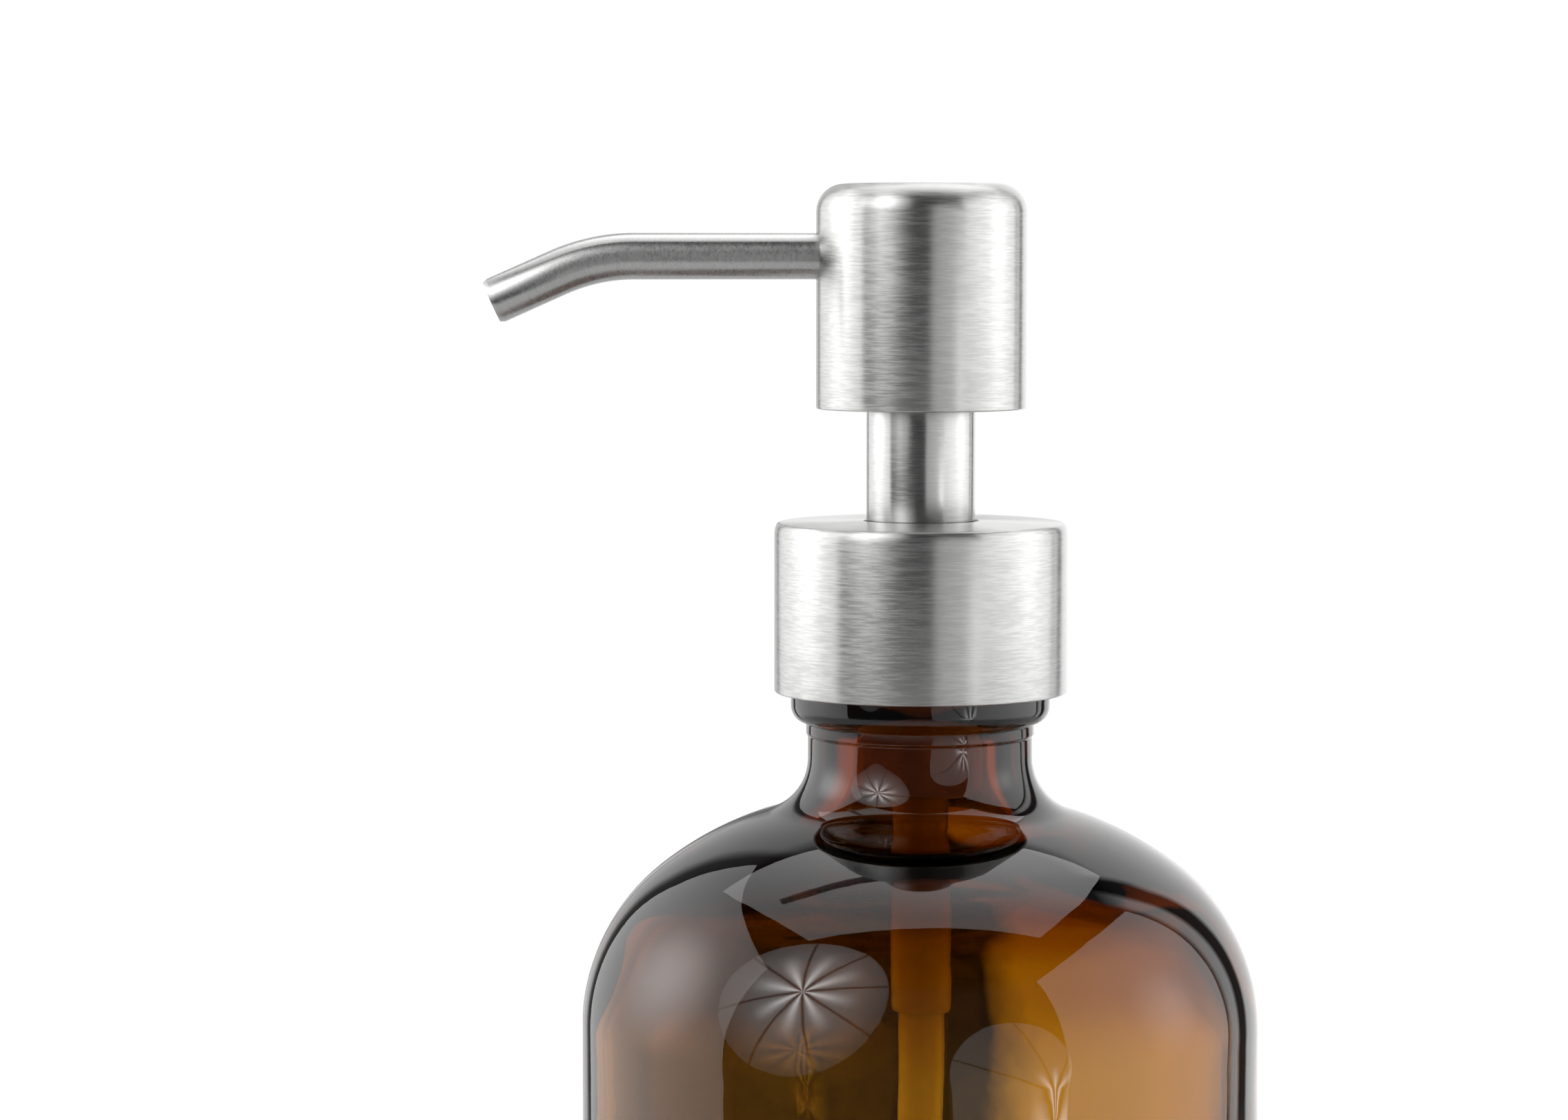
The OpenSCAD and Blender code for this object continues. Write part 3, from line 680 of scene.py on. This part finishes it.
def stem_sleeve(material):
    """The bright tube between the head and the collar."""
    bm = turned([
        (SLEEVE_R - SLEEVE_T, sleeve_low.z, 0.05), (SLEEVE_R, sleeve_low.z, 0.1),
        (SLEEVE_R, sleeve_high.z, 0.1), (SLEEVE_R - SLEEVE_T, sleeve_high.z, 0.05),
    ])
    piece("sleeve_tube", bm, "plunger", "polished_steel", material, "stem_sleeve")


def along_spout(co):
    """Where a point of the spout would lie if the tube were straightened, in mm: length, then across."""
    turn_centre = Vector((-SPOUT_REACH, 0, SPOUT_Z - BEND_R))
    away = co - turn_centre
    turn = math.degrees(math.atan2(-away.x, away.z))
    if turn <= 0:
        return Vector((-co.x, co.y, co.z - SPOUT_Z))
    bent = min(turn, BEND_ANGLE)
    unbent = Matrix.Rotation(math.radians(bent), 3, "Y") @ away
    return Vector((SPOUT_REACH + BEND_R * math.radians(bent) - unbent.x, co.y, unbent.z - BEND_R))


def bent_tube(radius, wall, start, tip_cut, chamfer):
    """A tube that leaves the head level, bends down and ends square, with a chamfer round its tip."""
    bm = bmesh.new()
    level = Matrix.Translation((-start, 0, SPOUT_Z)) @ Matrix.Rotation(math.radians(-90), 4, "Y")
    bmesh.ops.create_circle(bm, cap_ends=False, radius=radius, segments=72, matrix=level)
    ring = bm.edges[:]
    sections, bend_steps = 14, 16
    for _ in range(sections):
        ring = extend(bm, ring, Vector((-(SPOUT_REACH - start) / sections, 0, 0)))
    bent = bmesh.ops.spin(
        bm, geom=ring, cent=(-SPOUT_REACH, 0, SPOUT_Z - BEND_R), axis=(0, -1, 0),
        angle=math.radians(BEND_ANGLE), steps=bend_steps,
    )
    ring = [g for g in bent["geom_last"] if isinstance(g, bmesh.types.BMEdge)]
    down = Vector((-math.cos(math.radians(BEND_ANGLE)), 0, -math.sin(math.radians(BEND_ANGLE))))
    depth, length = chamfer
    ring = extend(bm, ring, down * (NOZZLE_LEN - tip_cut - length))
    if length:
        ring = extend(bm, ring, down * length)
        rim = list({v for e in ring for v in e.verts})
        centre = sum((v.co for v in rim), Vector()) / len(rim)
        for vert in rim:
            vert.co = centre + (vert.co - centre) * (1 - depth / radius)
    bmesh.ops.recalc_face_normals(bm, faces=bm.faces)
    bmesh.ops.solidify(bm, geom=bm.faces[:], thickness=wall)
    close_up(bm)
    place = bm.verts.layers.float_vector.new("along_tube")
    for vert in bm.verts:
        vert[place] = along_spout(vert.co) * MM
    return bm


def extend(bm, ring, step):
    """Extrudes a ring of edges by a step and returns the new ring."""
    grown = bmesh.ops.extrude_edge_only(bm, edges=ring)["geom"]
    verts = [g for g in grown if isinstance(g, bmesh.types.BMVert)]
    bmesh.ops.translate(bm, vec=step, verts=verts)
    return [g for g in grown if isinstance(g, bmesh.types.BMEdge) and all(v in verts for v in g.verts)]


def spout(material):
    """The steel spout."""
    bm = bent_tube(SPOUT_R, SPOUT_WALL, SPOUT_START, tip_cut=0, chamfer=(0.25, 0.55))
    piece("spout_tube", bm, "plunger", "bright_steel", material, "spout")


def spout_lining(material):
    """The plastic tube that carries the soap inside the steel spout."""
    bm = bent_tube(LINER_R, LINER_WALL, SPOUT_START, tip_cut=LINER_RECESS, chamfer=(0, 0))
    piece("spout_lining", bm, "plunger", "white_plastic", material, "spout_liner")


def return_spring(material):
    """The spring under the valve rod: one closed turn, six open ones and one closed turn."""
    bm = bmesh.new()
    upright = Matrix.Translation((COIL_R, 0, spring_low.z + WIRE_R)) @ Matrix.Rotation(math.pi / 2, 4, "X")
    bmesh.ops.create_circle(bm, cap_ends=True, radius=WIRE_R, segments=12, matrix=upright)
    end = bm.faces[:]
    a_turn, closed_rise = 36, 2 * WIRE_R
    open_rise = spring_high.z - spring_low.z - 6 * WIRE_R
    for turns, rise in ((1, closed_rise), (COIL_TURNS - 2, open_rise), (1, closed_rise)):
        end = wound(bm, end, turns, rise, a_turn * turns, len(bm.faces) == 1)
    close_up(bm)
    obj = piece("coil_spring", bm, "spring", "bright_steel", material, "return_spring")
    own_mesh(obj)


def finish_nodes(finishes):
    """Gives the CAD nodes that stay their materials."""
    for node, material in finishes.items():
        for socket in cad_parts[node].material_slots:
            socket.material = material


# ---------------------------------------------------------------------------------------------------------
# The studio
# ---------------------------------------------------------------------------------------------------------

AIM_Z = 0.16            # metres; the lamps face the pump at this height


def around(azimuth, elevation, distance, z=AIM_Z):
    """A place in the studio. Azimuth 0 is in front, with the spout to the left, and 90 is to the right."""
    a, e = math.radians(azimuth), math.radians(elevation)
    flat = distance * math.cos(e)
    return Vector((flat * math.sin(a), -flat * math.cos(a), z + distance * math.sin(e)))


def softbox(name, azimuth, elevation, distance, size, shape="RECTANGLE", upright=False):
    """A soft lamp that faces the pump, or stands upright beside it, sized in metres."""
    light = bpy.data.lights.new(name, "AREA")
    light.shape = shape
    light.size, light.size_y = size
    area = size[0] * size[1] * (math.pi / 4 if shape == "ELLIPSE" else 1)
    light.energy = math.pi * area                # glows as bright as white
    lamp = bpy.data.objects.new(name, light)
    lamp.location = around(azimuth, elevation, distance)
    aim = lamp.location - Vector((0, 0, lamp.location.z if upright else AIM_Z))
    lamp.rotation_euler = aim.to_track_quat("Z", "Y").to_euler()
    lamp.visible_camera = False
    bpy.context.scene.collection.objects.link(lamp)
    return lamp


def lit_cloth(lamp, edge, glow, hot, middle, reach, ribs=0):
    """Gives a lamp's cloth its brightness at the edge, the wide glow inside it and the bulb's hot spot.

    An umbrella's ribs are thin dark lines, with a bright ray between each pair of them.
    """
    glow_reach, ray_power, rib_width, rib_level = 1.3, 4, 0.1, 0.1
    lamp.data.use_nodes = True
    tree = lamp.data.node_tree
    tree.nodes.clear()
    spot = add(tree, "ShaderNodeNewGeometry").outputs["Parametric"]
    flat = add(
        tree, "ShaderNodeVectorMath",
        {"operation": "MULTIPLY_ADD", 1: (2, 2, 0), 2: (-1 - middle[0], -1 - middle[1], 0)},
        {0: spot},
    ).outputs[0]
    away = add(tree, "ShaderNodeVectorMath", {"operation": "LENGTH"}, {0: flat}).outputs["Value"]
    wide, heat = (
        add(
            tree, "ShaderNodeMapRange",
            {"interpolation_type": "SMOOTHSTEP", "From Max": end, "To Min": level, "To Max": 0},
            {"Value": away},
        )
        for end, level in ((glow_reach, glow), (reach, hot))
    )
    cloth = add(tree, "ShaderNodeMath", {"operation": "ADD", 1: edge}, {0: wide.outputs[0]})
    if ribs:
        axes = add(tree, "ShaderNodeSeparateXYZ", links={0: flat}).outputs
        turn = add(tree, "ShaderNodeMath", {"operation": "ARCTAN2"}, {0: axes["Y"], 1: axes["X"]})
        spin = add(tree, "ShaderNodeMath", {"operation": "MULTIPLY", 1: ribs / 2}, {0: turn.outputs[0]})
        wave = add(tree, "ShaderNodeMath", {"operation": "COSINE"}, {0: spin.outputs[0]})
        swing = add(tree, "ShaderNodeMath", {"operation": "ABSOLUTE"}, {0: wave.outputs[0]}).outputs[0]
        rays = add(tree, "ShaderNodeMath", {"operation": "POWER", 1: ray_power}, {0: swing})
        gap = add(tree, "ShaderNodeMath", {"operation": "MULTIPLY"}, {0: away, 1: swing})
        line = add(
            tree, "ShaderNodeMapRange", {"From Max": rib_width, "To Min": rib_level},
            {"Value": gap.outputs[0]},
        )
        heat, cloth = (
            add(
                tree, "ShaderNodeMath", {"operation": "MULTIPLY"},
                {0: plain.outputs[0], 1: mask.outputs[0]},
            )
            for plain, mask in ((heat, rays), (cloth, line))
        )
    level = add(tree, "ShaderNodeMath", {"operation": "ADD"}, {0: cloth.outputs[0], 1: heat.outputs[0]})
    light = add(tree, "ShaderNodeEmission", links={"Strength": level.outputs[0]})
    add(tree, "ShaderNodeOutputLight", links={"Surface": light.outputs[0]})


def wall_panels(tree, share, stops):
    """Brightness of the room by compass bearing: stops are (degrees from straight behind, level)."""
    ramp = add(tree, "ShaderNodeValToRGB", links={"Fac": share})
    ramp_stops(ramp, [((bearing + 180) / 360, (level, level, level, 1)) for bearing, level in stops])
    return ramp.outputs["Color"]


def studio_room():
    """White panels with dim gaps between them, before a white backdrop.

    Shiny skin mirrors the panels behind the pump, clear glass shows the ones all round it, and light that
    was scattered inside the plastic finds plain white. Dull things get an even fill.
    """
    world = bpy.data.worlds.new("studio_room")
    bpy.context.scene.world = world
    world.use_nodes = True
    tree = world.node_tree
    tree.nodes.clear()
    path = add(tree, "ShaderNodeLightPath").outputs
    outlook = add(tree, "ShaderNodeTexCoord").outputs["Generated"]
    axes = add(tree, "ShaderNodeSeparateXYZ", links={0: outlook}).outputs
    turn = add(tree, "ShaderNodeMath", {"operation": "ARCTAN2"}, {0: axes["X"], 1: axes["Y"]})
    share = add(
        tree, "ShaderNodeMapRange", {"From Min": -math.pi, "From Max": math.pi},
        {"Value": turn.outputs[0]},
    ).outputs["Result"]
    white, gap, shade = 1.25, 0.06, 0.035
    fill_level, scatter_level = 0.55, 1.5
    skin = wall_panels(tree, share, [
        (-30, gap), (-22, 0.12), (-18, 0.8), (-5, 0.8), (-3.5, 0.25), (-0.5, 0.25), (1.5, white),
        (38, white), (40.5, gap), (47, gap), (49, white), (54, white), (57, gap),
    ])
    top_start, top_end = 0.64, 0.74     # sines of the elevations between which the panels end
    wall_top = add(
        tree, "ShaderNodeMapRange",
        {"From Min": top_start, "From Max": top_end, "To Min": 1, "To Max": gap}, {"Value": axes["Z"]},
    )
    through = wall_panels(tree, share, [
        (-150, shade), (-145, white), (-110, white), (-105, shade), (-75, shade), (-70, white),
        (-40, white), (-35, shade), (5.7, shade), (6.4, white), (18, white), (22, shade),
        (60, shade), (65, white), (100, white), (105, shade), (150, shade), (155, white),
    ])
    shine = add(tree, "ShaderNodeBackground", links={"Color": skin, "Strength": wall_top.outputs[0]})
    glass = add(tree, "ShaderNodeBackground", links={"Color": through})
    fill, backdrop, scatter = (
        add(tree, "ShaderNodeBackground", {"Color": (1, 1, 1, 1), "Strength": level})
        for level in (fill_level, 1, scatter_level)
    )
    scattered = add(tree, "ShaderNodeMath", {"operation": "MINIMUM", 1: 1}, {0: path["Diffuse Depth"]})
    inside = add(
        tree, "ShaderNodeMixShader",
        links={0: scattered.outputs[0], 1: glass.outputs[0], 2: scatter.outputs[0]},
    )
    seen = fill
    views = (("Is Glossy Ray", shine), ("Is Transmission Ray", inside), ("Is Camera Ray", backdrop))
    for ray, view in views:
        seen = add(
            tree, "ShaderNodeMixShader", links={0: path[ray], 1: seen.outputs[0], 2: view.outputs[0]},
        )
    add(tree, "ShaderNodeOutputWorld", links={"Surface": seen.outputs[0]})


def pale_floor():
    """A round white table top whose shade fades into the backdrop at its edge. Its paint is pale where the
    camera or clear glass sees it, and a painted shade of darker grey in what shiny parts mirror and in the
    light it bounces.
    """
    radius, sunk = 0.56, 0.05 * MM
    fade_start, fade_end, least_clear, rim_start = 0.08, 0.4, 0.35, 0.3
    bm = bmesh.new()
    bmesh.ops.create_circle(bm, cap_ends=True, radius=radius, segments=128)
    bmesh.ops.translate(bm, vec=(0, 0, -sunk), verts=bm.verts)
    mesh = bpy.data.meshes.new("floor")
    bm.to_mesh(mesh)
    bm.free()
    floor = bpy.data.objects.new("floor", mesh)
    bpy.context.scene.collection.objects.link(floor)
    material, tree = new_material("white_table_top")
    path = add(tree, "ShaderNodeLightPath").outputs
    place = add(tree, "ShaderNodeTexCoord").outputs["Object"]
    away = add(tree, "ShaderNodeVectorMath", {"operation": "LENGTH"}, {0: place}).outputs["Value"]
    fade, rim = (
        add(
            tree, "ShaderNodeMapRange",
            {"interpolation_type": "SMOOTHSTEP", "From Min": start, "From Max": end, "To Min": least},
            {"Value": away},
        )
        for start, end, least in ((fade_start, fade_end, least_clear), (rim_start, radius, 0))
    )
    seen = add(
        tree, "ShaderNodeMath", {"operation": "MAXIMUM"},
        {0: path["Is Camera Ray"], 1: path["Is Transmission Ray"]},
    ).outputs[0]
    direct = add(tree, "ShaderNodeMath", {"operation": "MULTIPLY"}, {0: fade.outputs[0], 1: seen})
    share = add(
        tree, "ShaderNodeMath", {"operation": "MAXIMUM"}, {0: direct.outputs[0], 1: rim.outputs[0]},
    )
    # painted shade: the floor is pale e6e6e6 to camera and transmission rays, and darker a8a8a8 in
    # reflections on the steel and glass and in the light it bounces onto the pump
    tone = add(
        tree, "ShaderNodeMix", {"data_type": "RGBA", "A": linear("a8a8a8"), "B": linear("e6e6e6")},
        {"Factor": seen},
    ).outputs["Result"]
    paint = add(tree, "ShaderNodeBsdfPrincipled", {"Roughness": 0.6}, {"Base Color": tone})
    clear = add(tree, "ShaderNodeBsdfTransparent")
    mix = add(
        tree, "ShaderNodeMixShader", links={0: share.outputs[0], 1: paint.outputs[0], 2: clear.outputs[0]},
    )
    add(tree, "ShaderNodeOutputMaterial", links={"Surface": mix.outputs[0]})
    mesh.materials.append(material)


def camera():
    """The camera looks slightly down from the spout's level, with the pump right of centre."""
    data = bpy.data.cameras.new("camera")
    data.sensor_width = 36
    data.lens = 92.94
    data.clip_start = 0.01
    eye = bpy.data.objects.new("camera", data)
    off_side, pitch, aim_left, distance, height = 4, 4.3, 1.94, 0.45, 0.2026
    eye.location = around(-off_side, 0, distance, height)
    eye.rotation_euler = (math.radians(90 - pitch), 0, math.radians(aim_left - off_side))
    bpy.context.scene.collection.objects.link(eye)
    bpy.context.scene.camera = eye


def build():
    """Makes every piece and the studio."""
    glass_bottle(amber_glass())
    brushed = brushed_stainless()
    natural = moulded_plastic("natural_polypropylene", ("e2dccb", "efe9da"), (0.2, 0.3), clear=0.55)
    white = moulded_plastic("white_polypropylene", ("e9e9e6", "f4f4f1"), (0.3, 0.42), clear=0.0)
    grey = moulded_plastic("pale_grey_polypropylene", ("c4c4c2", "d4d4d2"), (0.35, 0.5), clear=0.0)
    soft = moulded_plastic("extruded_polyethylene_tube", ("e6e1d2", "f2eee2"), (0.2, 0.3), clear=0.5)
    pump_housing(natural)
    dip_tube(soft)
    steel_collar(brushed)
    steel_head(brushed)
    stem_sleeve(polished_stainless())
    spout(satin_spout_steel())
    spout_lining(white)
    return_spring(spring_steel())
    finish_nodes({
        "neck_gasket": white, "guide_ring": white, "ball_cage": white, "inlet_ball": ball_steel(),
        "threaded_closure": grey, "piston": natural, "valve_rod": natural, "pump_stem": white,
        "head_core": grey,
    })


def light_studio():
    """Four soft lamps round the sides and the front and one overhead, in a room of pale panels."""
    studio_room()
    pale_floor()
    left = softbox("left_softbox", -112, 13, 0.9, (1.5, 1.6), upright=True)
    lit_cloth(left, edge=1.15, glow=0.75, hot=2.3, middle=(0.16, 0.11), reach=0.6)
    umbrella = softbox("front_left_umbrella", -49, 27, 1.0, (1.08, 1.4), "ELLIPSE")
    lit_cloth(umbrella, edge=0.35, glow=1.8, hot=7, middle=(-0.02, 0.18), reach=0.7, ribs=8)
    low = softbox("low_right_umbrella", 26, -4, 1.0, (0.74, 0.95), "ELLIPSE")
    lit_cloth(low, edge=0.7, glow=0.4, hot=6, middle=(0.7, -0.39), reach=0.5, ribs=8)
    right = softbox("right_softbox", 83, 13, 0.9, (1.36, 1.5), upright=True)
    lit_cloth(right, edge=1.3, glow=0.6, hot=1, middle=(0.15, -0.05), reach=0.45)
    overhead = softbox("overhead_softbox", 180, 74, 0.9, (1.15, 0.9))
    lit_cloth(overhead, edge=1.2, glow=1.3, hot=0, middle=(-0.25, -0.5), reach=0.6)


build()
light_studio()
camera()
bpy.context.scene.view_settings.view_transform = "Standard"
